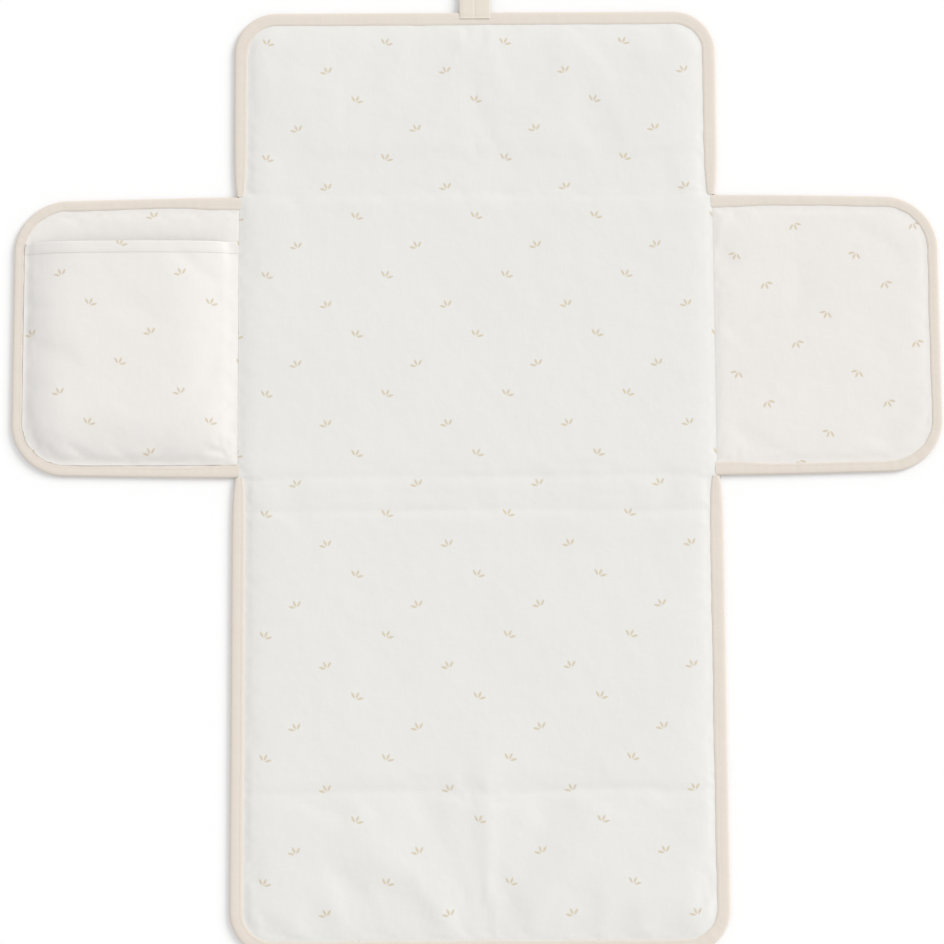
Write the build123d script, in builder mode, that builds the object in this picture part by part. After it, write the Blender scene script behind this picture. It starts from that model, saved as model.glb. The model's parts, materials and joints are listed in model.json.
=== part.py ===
"""Folding baby changing pad: a padded mat with two side wings, a nappy pocket and a snap strap.

The pad lies open on its underside. Z = 0 is the surface it lies on, +Y runs to the strap end,
and the origin is the middle of the centre panel's underside.
"""

import math
import os

from build123d import *

os.makedirs("parts", exist_ok=True)

# Pad outline, open and flat
PAD_WIDTH = 390.0
PAD_CORNER = 34.0
STRAP_END = 266.0
FOOT_END = -487.0

# Fold lines across the pad
FLAP_FOLD = 147.8
UPPER_FOLD = 114.0
LOWER_FOLD = -114.0
PANEL_FOLD = -141.0
FOOT_FOLD = -362.0
FOLD_GAP = 0.5

# Layers
FABRIC = 0.8
PAD_HEIGHT = 6.0
PILLOW_RUN = 14.0

# Bias binding round every free edge
BINDING_WIDTH = 12.0
BINDING_FABRIC = 0.6
BINDING_HEIGHT = 3.0
SEAM_TOP = BINDING_HEIGHT - BINDING_FABRIC
SEAM_MIDDLE = SEAM_TOP - FABRIC

# Centre panel, sewn to a wing along each side
CENTRE_HALF_WIDTH = 192.0
CENTRE_RUN = 13.0
SEAM_WIDTH = 3.0

# Wings
WING_SEAM = 192.3
WING_OUTER = 371.0
WING_LENGTH = 224.0
WING_CORNER = 42.0
WING_HEIGHT = 4.0
WING_RUN = 8.0

# Nappy pocket on the left wing
POCKET_MOUTH = 76.2
POCKET_CROWN = 12.8
POCKET_RUN = 22.0
POCKET_SETBACK = BINDING_WIDTH + 0.2
HEM_WIDTH = 9.0

# Strap and snap
STRAP_WIDTH = 25.0
STRAP_FABRIC = 1.6
STRAP_HINGE_Y = 266.5
STRAP_HINGE_Z = 1.2
STRAP_SEWN = 5.5
STRAP_REACH = 60.0
STRAP_GAP = 0.6
STRAP_TILT = 1.7
SNAP_REACH = 48.0
SOCKET_DIAMETER = 11.0
SOCKET_HEIGHT = 2.2
SOCKET_FLOOR = 0.4
SOCKET_BORE = 5.2
CAP_DIAMETER = 12.0
CAP_HEIGHT = 1.2
RIVET_DIAMETER = 3.0
STUD_DIAMETER = 11.0
KNOB_DIAMETER = 4.6
KNOB_CLEARANCE = 0.1
DIMPLE_DIAMETER = 22.0
DIMPLE_DEPTH = 3.2
PATCH_DIAMETER = 18.0
PATCH_FABRIC = 0.4

# Derived positions
PAD_LENGTH = STRAP_END - FOOT_END
PAD_MIDDLE = (STRAP_END + FOOT_END) / 2
WING_REACH_IN = 60.0
WING_DRAWN_WIDTH = WING_OUTER - WING_SEAM + WING_REACH_IN
WING_MIDDLE = -WING_OUTER + WING_DRAWN_WIDTH / 2
POCKET_LEFT = -WING_OUTER + POCKET_SETBACK
POCKET_RIGHT = -WING_SEAM - SEAM_WIDTH
POCKET_BOTTOM = -WING_LENGTH / 2 + POCKET_SETBACK
POCKET_CORNER = WING_CORNER - POCKET_SETBACK
SOCKET_Y = STRAP_HINGE_Y + SNAP_REACH

# The stud stands where the socket comes down when the pad is folded shut and the strap is tilted.
bore_height = BINDING_HEIGHT + STRAP_FABRIC + SOCKET_HEIGHT / 2 - STRAP_HINGE_Z
tilt = math.radians(STRAP_TILT)
closed_socket_y = STRAP_HINGE_Y + SNAP_REACH * math.cos(tilt) - bore_height * math.sin(tilt)
STUD_Y = LOWER_FOLD + PANEL_FOLD - (UPPER_FOLD + FLAP_FOLD - closed_socket_y)


def pad_layer(z_low, z_high, inset, run=0.0, mode=Mode.ADD):
    """Layer of the whole pad's outline, set in from the edge and leaning in by run as it rises."""
    with BuildSketch(Plane((0, PAD_MIDDLE, z_low))) as outline:
        RectangleRounded(PAD_WIDTH - 2 * inset, PAD_LENGTH - 2 * inset, PAD_CORNER - inset)
    lean = math.degrees(math.atan2(run, z_high - z_low))
    extrude(outline.sketch, amount=z_high - z_low, taper=lean, mode=mode)


def wing_layer(z_low, z_high, inset, run=0.0, mode=Mode.ADD):
    """Layer of the left wing's outline, drawn past the seam so that only free edges lean."""
    with BuildSketch(Plane((WING_MIDDLE, 0, z_low))) as outline:
        RectangleRounded(WING_DRAWN_WIDTH - 2 * inset, WING_LENGTH - 2 * inset, WING_CORNER - inset)
    lean = math.degrees(math.atan2(run, z_high - z_low))
    extrude(outline.sketch, amount=z_high - z_low, taper=lean, mode=mode)


def pocket_dome(lift=0.0, mode=Mode.ADD):
    """Domed solid under the pocket cloth, drawn past the mouth and lifted by whole fabric layers."""
    length = POCKET_MOUTH + WING_REACH_IN - POCKET_BOTTOM
    middle = ((POCKET_LEFT + POCKET_RIGHT) / 2, POCKET_BOTTOM + length / 2, SEAM_TOP + lift)
    with BuildSketch(Plane(middle)) as outline:
        RectangleRounded(POCKET_RIGHT - POCKET_LEFT, length, POCKET_CORNER)
    rise = POCKET_CROWN - SEAM_TOP
    lean = math.degrees(math.atan2(POCKET_RUN, rise))
    extrude(outline.sketch, amount=rise, taper=lean, mode=mode)


def keep_between(y_low, y_high):
    """Keeps the stretch of a layer between two fold lines, less half a fold gap at each end."""
    length = y_high - y_low - FOLD_GAP
    with BuildSketch(Plane((0, (y_low + y_high) / 2, -1))) as stretch:
        Rectangle(2 * PAD_WIDTH, length)
    extrude(stretch.sketch, amount=20, mode=Mode.INTERSECT)


def keep_side(side):
    """Keeps the half of a layer on one side of the pad's middle line: -1 is left, +1 is right."""
    with BuildSketch(Plane((side * PAD_WIDTH / 2, PAD_MIDDLE, -1))) as half:
        Rectangle(PAD_WIDTH, PAD_LENGTH + 20)
    extrude(half.sketch, amount=20, mode=Mode.INTERSECT)


def keep_profile(*points):
    """Keeps what lies inside a profile in XZ, carried the length of a wing."""
    with BuildSketch(Plane.XZ) as profile:
        Polygon(*points, align=None)
    extrude(profile.sketch, amount=WING_LENGTH, both=True, mode=Mode.INTERSECT)


def foam_layer(y_low, y_high):
    """Foam between the face and the backing, thinned to nothing before the binding."""
    pad_layer(FABRIC, SEAM_MIDDLE, BINDING_WIDTH + FABRIC)
    pad_layer(SEAM_MIDDLE, PAD_HEIGHT - FABRIC, BINDING_WIDTH, run=PILLOW_RUN)
    keep_between(y_low, y_high)


def face_layer(y_low, y_high, foam):
    """Printed face cloth over the foam, with its flat seam allowance inside the binding."""
    pad_layer(SEAM_MIDDLE, SEAM_TOP, BINDING_FABRIC)
    pad_layer(SEAM_TOP, PAD_HEIGHT, BINDING_WIDTH, run=PILLOW_RUN)
    keep_between(y_low, y_high)
    add(foam.part, mode=Mode.SUBTRACT)


def backing_layer(y_low, y_high, foam):
    """Backing cloth, flat on the ground and raised to the seam inside the binding."""
    pad_layer(BINDING_FABRIC, SEAM_MIDDLE, BINDING_FABRIC)
    pad_layer(0, FABRIC, BINDING_WIDTH)
    keep_between(y_low, y_high)
    add(foam.part, mode=Mode.SUBTRACT)


def binding_layer(y_low, y_high):
    """Bias binding, a strip folded over the edge with one leg above it and one below."""
    pad_layer(0, BINDING_HEIGHT, 0)
    pad_layer(BINDING_FABRIC, SEAM_TOP, BINDING_FABRIC, mode=Mode.SUBTRACT)
    pad_layer(0, BINDING_HEIGHT, BINDING_WIDTH, mode=Mode.SUBTRACT)
    keep_between(y_low, y_high)


def disc(z_low, z_high, diameter, y, mode=Mode.ADD):
    """Flat round disc on the pad's middle line."""
    with BuildSketch(Plane((0, y, z_low))) as outline:
        Circle(diameter / 2)
    extrude(outline.sketch, amount=z_high - z_low, mode=mode)


def centre_layer(*half_profile):
    """Layer of the centre panel, from the right half of its cross-section in XZ."""
    left = [(-x, z) for x, z in reversed(half_profile)]
    with BuildSketch(Plane.XZ) as profile:
        Polygon(*half_profile, *left, align=None)
    extrude(profile.sketch, amount=UPPER_FOLD - FOLD_GAP / 2, both=True)


# Centre panel: three layers that meet flat along the wing seams
FOAM_HALF = CENTRE_HALF_WIDTH - SEAM_WIDTH
CROWN_HALF = FOAM_HALF - CENTRE_RUN

with BuildPart() as centre_foam:
    centre_layer(
        (FOAM_HALF, FABRIC),
        (FOAM_HALF, SEAM_MIDDLE),
        (CROWN_HALF, PAD_HEIGHT - FABRIC),
    )

with BuildPart() as centre_face:
    centre_layer(
        (CENTRE_HALF_WIDTH, SEAM_MIDDLE),
        (CENTRE_HALF_WIDTH, SEAM_TOP),
        (FOAM_HALF, SEAM_TOP),
        (CROWN_HALF, PAD_HEIGHT),
    )
    add(centre_foam.part, mode=Mode.SUBTRACT)

with BuildPart() as centre_backing:
    centre_layer((CENTRE_HALF_WIDTH, 0), (CENTRE_HALF_WIDTH, SEAM_MIDDLE))
    add(centre_foam.part, mode=Mode.SUBTRACT)

# Flap: the end that folds over last and carries the strap
FLAP = (FLAP_FOLD, STRAP_END + FOLD_GAP)

with BuildPart() as flap_foam:
    foam_layer(*FLAP)

with BuildPart() as flap_face:
    face_layer(*FLAP, flap_foam)

with BuildPart() as flap_backing:
    backing_layer(*FLAP, flap_foam)

with BuildPart() as flap_binding:
    binding_layer(*FLAP)

# Upper spine: the back of the folded pad, between the centre panel and the flap
UPPER_SPINE = (UPPER_FOLD, FLAP_FOLD)

with BuildPart() as upper_spine_foam:
    foam_layer(*UPPER_SPINE)

with BuildPart() as upper_spine_face:
    face_layer(*UPPER_SPINE, upper_spine_foam)

with BuildPart() as upper_spine_backing:
    backing_layer(*UPPER_SPINE, upper_spine_foam)

with BuildPart() as upper_spine_binding_left:
    binding_layer(*UPPER_SPINE)
    keep_side(-1)

with BuildPart() as upper_spine_binding_right:
    binding_layer(*UPPER_SPINE)
    keep_side(1)

# Lower spine: the narrow stretch that the long lower panel turns up on
LOWER_SPINE = (PANEL_FOLD, LOWER_FOLD)

with BuildPart() as lower_spine_foam:
    foam_layer(*LOWER_SPINE)

with BuildPart() as lower_spine_face:
    face_layer(*LOWER_SPINE, lower_spine_foam)

with BuildPart() as lower_spine_backing:
    backing_layer(*LOWER_SPINE, lower_spine_foam)

with BuildPart() as lower_spine_binding_left:
    binding_layer(*LOWER_SPINE)
    keep_side(-1)

with BuildPart() as lower_spine_binding_right:
    binding_layer(*LOWER_SPINE)
    keep_side(1)

# Lower panel: its backing is drawn in to a round dimple that hides the snap's stud
LOWER_PANEL = (FOOT_FOLD, PANEL_FOLD)
DIMPLE_OUTER = DIMPLE_DIAMETER + 2 * FABRIC

with BuildPart() as lower_panel_foam:
    foam_layer(*LOWER_PANEL)
    disc(0, PAD_HEIGHT, DIMPLE_OUTER, STUD_Y, mode=Mode.SUBTRACT)

with BuildPart() as lower_panel_face:
    face_layer(*LOWER_PANEL, lower_panel_foam)
    disc(0, PAD_HEIGHT - FABRIC, DIMPLE_OUTER, STUD_Y, mode=Mode.SUBTRACT)

with BuildPart() as lower_panel_backing:
    backing_layer(*LOWER_PANEL, lower_panel_foam)
    disc(0, DIMPLE_DEPTH + FABRIC, DIMPLE_OUTER, STUD_Y)
    disc(0, DIMPLE_DEPTH, DIMPLE_DIAMETER, STUD_Y, mode=Mode.SUBTRACT)
    disc(0, PAD_HEIGHT, RIVET_DIAMETER, STUD_Y, mode=Mode.SUBTRACT)

with BuildPart() as lower_panel_binding_left:
    binding_layer(*LOWER_PANEL)
    keep_side(-1)

with BuildPart() as lower_panel_binding_right:
    binding_layer(*LOWER_PANEL)
    keep_side(1)

# End panel: the foot of the pad, which turns over onto the lower panel
END_PANEL = (FOOT_END - FOLD_GAP, FOOT_FOLD)

with BuildPart() as end_panel_foam:
    foam_layer(*END_PANEL)

with BuildPart() as end_panel_face:
    face_layer(*END_PANEL, end_panel_foam)

with BuildPart() as end_panel_backing:
    backing_layer(*END_PANEL, end_panel_foam)

with BuildPart() as end_panel_binding:
    binding_layer(*END_PANEL)

# Left wing: thin wadding between face and backing, bound on its three free edges
WADDING_IN = WING_SEAM + SEAM_WIDTH

with BuildPart() as left_wing_wadding:
    wing_layer(FABRIC, SEAM_MIDDLE, BINDING_WIDTH + FABRIC)
    wing_layer(SEAM_MIDDLE, WING_HEIGHT - FABRIC, BINDING_WIDTH, run=WING_RUN)
    keep_profile(
        (-WADDING_IN, 0),
        (-WADDING_IN, SEAM_MIDDLE),
        (-WADDING_IN - WING_RUN, WING_HEIGHT - FABRIC),
        (-WING_OUTER, WING_HEIGHT - FABRIC),
        (-WING_OUTER, 0),
    )

with BuildPart() as left_wing_face:
    wing_layer(SEAM_MIDDLE, SEAM_TOP, BINDING_FABRIC)
    wing_layer(SEAM_TOP, WING_HEIGHT, BINDING_WIDTH, run=WING_RUN)
    keep_profile(
        (-WING_SEAM, 0),
        (-WING_SEAM, SEAM_TOP),
        (-WADDING_IN, SEAM_TOP),
        (-WADDING_IN - WING_RUN, WING_HEIGHT),
        (-WING_OUTER, WING_HEIGHT),
        (-WING_OUTER, 0),
    )
    add(left_wing_wadding.part, mode=Mode.SUBTRACT)

with BuildPart() as left_wing_backing:
    wing_layer(BINDING_FABRIC, SEAM_MIDDLE, BINDING_FABRIC)
    wing_layer(0, FABRIC, BINDING_WIDTH)
    keep_profile(
        (-WING_SEAM, 0),
        (-WING_SEAM, SEAM_MIDDLE),
        (-WING_OUTER, SEAM_MIDDLE),
        (-WING_OUTER, 0),
    )
    add(left_wing_wadding.part, mode=Mode.SUBTRACT)

with BuildPart() as left_wing_binding:
    wing_layer(0, BINDING_HEIGHT, 0)
    wing_layer(BINDING_FABRIC, SEAM_TOP, BINDING_FABRIC, mode=Mode.SUBTRACT)
    wing_layer(0, BINDING_HEIGHT, BINDING_WIDTH, mode=Mode.SUBTRACT)
    keep_profile(
        (-WING_SEAM, 0),
        (-WING_SEAM, BINDING_HEIGHT),
        (-WING_OUTER, BINDING_HEIGHT),
        (-WING_OUTER, 0),
    )

# Nappy pocket: one layer of face cloth with room under it, open at the hem
with BuildPart() as pocket_panel:
    pocket_dome()
    pocket_dome(lift=-FABRIC, mode=Mode.SUBTRACT)
    wing_layer(0, POCKET_CROWN, POCKET_SETBACK, mode=Mode.INTERSECT)
    wing_layer(SEAM_MIDDLE, SEAM_TOP, 0, mode=Mode.SUBTRACT)
    wing_layer(SEAM_TOP, WING_HEIGHT, BINDING_WIDTH, run=WING_RUN, mode=Mode.SUBTRACT)
    split(bisect_by=Plane.XZ.offset(-POCKET_MOUTH), keep=Keep.TOP)

with BuildPart() as pocket_hem:
    pocket_dome(lift=FABRIC)
    pocket_dome(mode=Mode.SUBTRACT)
    wing_layer(0, POCKET_CROWN + FABRIC, POCKET_SETBACK, mode=Mode.INTERSECT)
    split(bisect_by=Plane.XZ.offset(-POCKET_MOUTH), keep=Keep.TOP)
    split(bisect_by=Plane.XZ.offset(HEM_WIDTH - POCKET_MOUTH), keep=Keep.BOTTOM)

# Right wing: the left wing's mirror image, without a pocket
with BuildPart() as right_wing_wadding:
    mirror(left_wing_wadding.part, about=Plane.YZ)

with BuildPart() as right_wing_face:
    mirror(left_wing_face.part, about=Plane.YZ)

with BuildPart() as right_wing_backing:
    mirror(left_wing_backing.part, about=Plane.YZ)

with BuildPart() as right_wing_binding:
    mirror(left_wing_binding.part, about=Plane.YZ)

# Strap: its sewn end lies on the flap's binding and its free end carries the snap's socket
STRAP_TOP = BINDING_HEIGHT + STRAP_FABRIC
SEWN_FROM = STRAP_END - STRAP_SEWN
SEWN_TO = STRAP_HINGE_Y - STRAP_GAP / 2
FREE_FROM = STRAP_HINGE_Y + STRAP_GAP / 2
FREE_TO = STRAP_HINGE_Y + STRAP_REACH

with BuildPart() as strap_anchor:
    with BuildSketch(Plane((0, (SEWN_FROM + SEWN_TO) / 2, BINDING_HEIGHT))):
        Rectangle(STRAP_WIDTH, SEWN_TO - SEWN_FROM)
    extrude(amount=STRAP_FABRIC)

with BuildPart() as strap_body:
    with BuildSketch(Plane((0, (FREE_FROM + FREE_TO) / 2, BINDING_HEIGHT))):
        Rectangle(STRAP_WIDTH, FREE_TO - FREE_FROM)
    extrude(amount=STRAP_FABRIC)
    tip = strap_body.faces().sort_by(Axis.Y)[-1]
    fillet(tip.edges().filter_by(Axis.Z), radius=8)
    disc(BINDING_HEIGHT, STRAP_TOP, RIVET_DIAMETER, SOCKET_Y, mode=Mode.SUBTRACT)

with BuildPart() as snap_cap:
    disc(BINDING_HEIGHT - CAP_HEIGHT, BINDING_HEIGHT, CAP_DIAMETER, SOCKET_Y)
    fillet(snap_cap.edges().sort_by(Axis.Z)[0], radius=0.9)
    disc(BINDING_HEIGHT, STRAP_TOP, RIVET_DIAMETER, SOCKET_Y)

with BuildPart() as snap_socket:
    disc(STRAP_TOP, STRAP_TOP + SOCKET_HEIGHT, SOCKET_DIAMETER, SOCKET_Y)
    fillet(snap_socket.edges().sort_by(Axis.Z)[-1], radius=0.6)
    disc(STRAP_TOP + SOCKET_FLOOR, STRAP_TOP + SOCKET_HEIGHT, SOCKET_BORE, SOCKET_Y, mode=Mode.SUBTRACT)

# Stud: a knob that points down in the dimple, riveted through the backing and a patch
STUD_TOP = DIMPLE_DEPTH
STUD_BASE = 2.0
PATCH_LOW = DIMPLE_DEPTH + FABRIC
PATCH_HIGH = PATCH_LOW + PATCH_FABRIC

with BuildPart() as snap_stud:
    with BuildSketch(Plane((0, STUD_Y, 0), x_dir=(1, 0, 0), z_dir=(0, -1, 0))) as half_section:
        with BuildLine():
            Polyline(
                (0, KNOB_CLEARANCE),
                (KNOB_DIAMETER / 2 - 0.5, KNOB_CLEARANCE),
                (KNOB_DIAMETER / 2, KNOB_CLEARANCE + 0.4),
                (KNOB_DIAMETER / 2, KNOB_CLEARANCE + 1.1),
                (KNOB_DIAMETER / 2 - 0.4, KNOB_CLEARANCE + 1.4),
                (KNOB_DIAMETER / 2 - 0.4, STUD_BASE),
                (STUD_DIAMETER / 2 - 0.4, STUD_BASE),
                (STUD_DIAMETER / 2, STUD_BASE + 0.4),
                (STUD_DIAMETER / 2, STUD_TOP),
                (0, STUD_TOP),
                close=True,
            )
        make_face()
    revolve(axis=Axis((0, STUD_Y, 0), (0, 0, 1)))

with BuildPart() as stud_patch:
    disc(PATCH_LOW, PATCH_HIGH, PATCH_DIAMETER, STUD_Y)
    disc(PATCH_LOW, PATCH_HIGH, RIVET_DIAMETER, STUD_Y, mode=Mode.SUBTRACT)

with BuildPart() as snap_post:
    disc(STUD_TOP, PATCH_HIGH, RIVET_DIAMETER, STUD_Y)
    disc(PATCH_HIGH, PATCH_HIGH + 0.6, STUD_DIAMETER - 1, STUD_Y)

# Every piece, by the name of its node
pieces = {
    "centre_face": centre_face,
    "centre_foam": centre_foam,
    "centre_backing": centre_backing,
    "flap_face": flap_face,
    "flap_foam": flap_foam,
    "flap_backing": flap_backing,
    "flap_binding": flap_binding,
    "upper_spine_face": upper_spine_face,
    "upper_spine_foam": upper_spine_foam,
    "upper_spine_backing": upper_spine_backing,
    "upper_spine_binding_left": upper_spine_binding_left,
    "upper_spine_binding_right": upper_spine_binding_right,
    "lower_spine_face": lower_spine_face,
    "lower_spine_foam": lower_spine_foam,
    "lower_spine_backing": lower_spine_backing,
    "lower_spine_binding_left": lower_spine_binding_left,
    "lower_spine_binding_right": lower_spine_binding_right,
    "lower_panel_face": lower_panel_face,
    "lower_panel_foam": lower_panel_foam,
    "lower_panel_backing": lower_panel_backing,
    "lower_panel_binding_left": lower_panel_binding_left,
    "lower_panel_binding_right": lower_panel_binding_right,
    "end_panel_face": end_panel_face,
    "end_panel_foam": end_panel_foam,
    "end_panel_backing": end_panel_backing,
    "end_panel_binding": end_panel_binding,
    "left_wing_face": left_wing_face,
    "left_wing_wadding": left_wing_wadding,
    "left_wing_backing": left_wing_backing,
    "left_wing_binding": left_wing_binding,
    "pocket_panel": pocket_panel,
    "pocket_hem": pocket_hem,
    "right_wing_face": right_wing_face,
    "right_wing_wadding": right_wing_wadding,
    "right_wing_backing": right_wing_backing,
    "right_wing_binding": right_wing_binding,
    "strap_anchor": strap_anchor,
    "strap_body": strap_body,
    "snap_cap": snap_cap,
    "snap_socket": snap_socket,
    "snap_stud": snap_stud,
    "stud_patch": stud_patch,
    "snap_post": snap_post,
}

for name, piece in pieces.items():
    piece.part.label = name
    export_step(piece.part, f"parts/{name}.step")
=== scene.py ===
"""Changing pad: padded printed cotton with bias binding, wings, a pocket and a snap strap."""

import json
import math

import bpy
import numpy as np
from mathutils import Matrix, Vector


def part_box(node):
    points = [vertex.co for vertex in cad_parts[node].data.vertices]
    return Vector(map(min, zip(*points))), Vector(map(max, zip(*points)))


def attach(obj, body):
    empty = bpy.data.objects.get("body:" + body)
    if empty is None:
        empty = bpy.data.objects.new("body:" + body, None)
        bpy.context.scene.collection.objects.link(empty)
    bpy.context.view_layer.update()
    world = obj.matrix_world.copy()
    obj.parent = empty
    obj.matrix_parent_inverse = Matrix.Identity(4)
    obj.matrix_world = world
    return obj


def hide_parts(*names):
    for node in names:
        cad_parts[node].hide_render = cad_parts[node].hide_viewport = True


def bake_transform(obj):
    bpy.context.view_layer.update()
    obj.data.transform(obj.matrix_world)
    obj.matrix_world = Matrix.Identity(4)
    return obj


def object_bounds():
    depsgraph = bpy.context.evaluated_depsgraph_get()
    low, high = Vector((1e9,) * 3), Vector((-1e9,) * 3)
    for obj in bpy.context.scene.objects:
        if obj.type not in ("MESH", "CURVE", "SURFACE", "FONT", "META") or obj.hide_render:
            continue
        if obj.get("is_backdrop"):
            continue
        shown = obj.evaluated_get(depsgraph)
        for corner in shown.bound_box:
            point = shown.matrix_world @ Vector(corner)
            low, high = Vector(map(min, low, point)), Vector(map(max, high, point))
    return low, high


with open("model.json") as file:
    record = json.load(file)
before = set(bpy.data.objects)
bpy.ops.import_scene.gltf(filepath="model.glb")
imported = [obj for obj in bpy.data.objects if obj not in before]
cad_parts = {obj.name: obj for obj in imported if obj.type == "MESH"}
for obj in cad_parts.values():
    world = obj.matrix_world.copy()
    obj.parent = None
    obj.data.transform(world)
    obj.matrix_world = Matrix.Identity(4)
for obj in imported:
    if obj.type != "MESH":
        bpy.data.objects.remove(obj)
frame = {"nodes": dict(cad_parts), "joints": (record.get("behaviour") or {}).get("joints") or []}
cad_low, cad_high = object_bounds()
MM = 0.001


# ---------------------------------------------------------------- sizes, all from the frame
def lows(node):
    return np.array(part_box(node)[0]) / MM


def highs(node):
    return np.array(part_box(node)[1]) / MM


JOINTS = {j["name"]: j for j in frame["joints"]}


def joint_at(name):
    return np.array(JOINTS[name]["pos_m"]) / MM


HALF = highs("flap_binding")[0]
TOP_END = highs("flap_binding")[1]
FOOT_END = lows("end_panel_binding")[1]
PAD_MID = (TOP_END + FOOT_END) / 2
PAD_HALF_LENGTH = (TOP_END - FOOT_END) / 2
PAD_CORNER = 34.0
HEIGHT = highs("centre_face")[2]
FLAP_FOLD = joint_at("flap_fold")[1]
UPPER_FOLD = joint_at("upper_spine_fold")[1]
LOWER_FOLD = joint_at("lower_spine_fold")[1]
PANEL_FOLD = joint_at("lower_panel_fold")[1]
FOOT_FOLD = joint_at("end_panel_fold")[1]
FOLDS = (FLAP_FOLD, UPPER_FOLD, LOWER_FOLD, PANEL_FOLD, FOOT_FOLD)
WING_SEAM = -highs("left_wing_backing")[0]
WING_OUT = -lows("left_wing_binding")[0]
WING_HALF = highs("left_wing_binding")[1]
WING_CORNER = 42.0
WING_HEIGHT = highs("left_wing_face")[2]
POCKET_HIGH = highs("pocket_panel")
HEM_LOW = lows("pocket_hem")
HEM_HIGH = highs("pocket_hem")
STUD = (lows("snap_stud") + highs("snap_stud")) / 2
STRAP_LOW = lows("strap_anchor")
STRAP_HIGH = highs("strap_body")
STRAP_FOLD = joint_at("strap_fold")
BIND = 10.6  # width of the binding's visible face
SEAM_X = 190.0  # the seam where each wing joins the pad
EDGE_Z = 3.1  # height of the cloth where it meets the binding


# ---------------------------------------------------------------- small helpers
def smooth(t):
    t = np.clip(t, 0, 1)
    return t * t * (3 - 2 * t)


def bell(distance, width):
    """A smooth bump, 1 at distance 0."""
    return np.exp(-((distance / width) ** 2))


def pillow(e, reach, power=1.15):
    """How a padded face rises from its edge, from 0 to 1, e mm in."""
    return 1 - np.exp(-((e / reach) ** power))


def waves(x, y, seed, length, count=7):
    """Smooth repeatable unevenness about as long as length, from -1 to 1."""
    rng = np.random.default_rng(seed)
    total = np.zeros(np.broadcast(x, y).shape)
    for _ in range(count):
        turn = rng.uniform(0, math.pi)
        k = 2 * math.pi / (length * rng.uniform(0.7, 1.5))
        total += np.sin(k * (np.cos(turn) * x + np.sin(turn) * y) + rng.uniform(0, 6.28))
    return total / count**0.5 / 1.6


def inside(x, y, cx, cy, hx, hy, r):
    """How far a point is inside a rounded rectangle, in mm."""
    qx = np.abs(x - cx) - (hx - r)
    qy = np.abs(y - cy) - (hy - r)
    out = np.hypot(np.maximum(qx, 0), np.maximum(qy, 0)) + np.minimum(np.maximum(qx, qy), 0)
    return r - out


def lines(stops, coarse, fine_at=(), fine=1.5, reach=9.0):
    """Grid lines through every stop, coarse apart, and fine apart near each place of fine_at."""
    places = [min(stops)]
    stops = sorted(set(stops))
    while places[-1] < stops[-1] - 1e-6:
        here = places[-1]
        near = min((abs(here + 0.1 - f) for f in fine_at), default=1e9)
        step = fine + (coarse - fine) * float(smooth((near - reach) / 12))
        following = next(s for s in stops if s > here + 1e-6)
        if here + 1.4 * step >= following:
            places.append(following)
        else:
            places.append(here + step)
    return np.array(places)


def new_object(name, mesh):
    obj = bpy.data.objects.new(name, mesh)
    bpy.context.scene.collection.objects.link(obj)
    return obj


def build(name, points, faces, materials, normals, cloth, slots=None):
    """A smooth mesh piece from points in mm; cloth is each point's place on the flat cloth."""
    mesh = bpy.data.meshes.new(name)
    mesh.from_pydata((np.asarray(points) * MM).tolist(), [], faces)
    mesh.polygons.foreach_set("use_smooth", [True] * len(mesh.polygons))
    for m in materials:
        mesh.materials.append(m)
    if slots is not None:
        mesh.polygons.foreach_set("material_index", slots)
    flat = np.zeros((len(points), 3))
    flat[:, :2] = cloth
    place = mesh.attributes.new("cloth", "FLOAT_VECTOR", "POINT")
    place.data.foreach_set("vector", flat.astype(np.float32).ravel())
    mesh.update()
    mesh.normals_split_custom_set(normals)
    return new_object(name, mesh)


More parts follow.
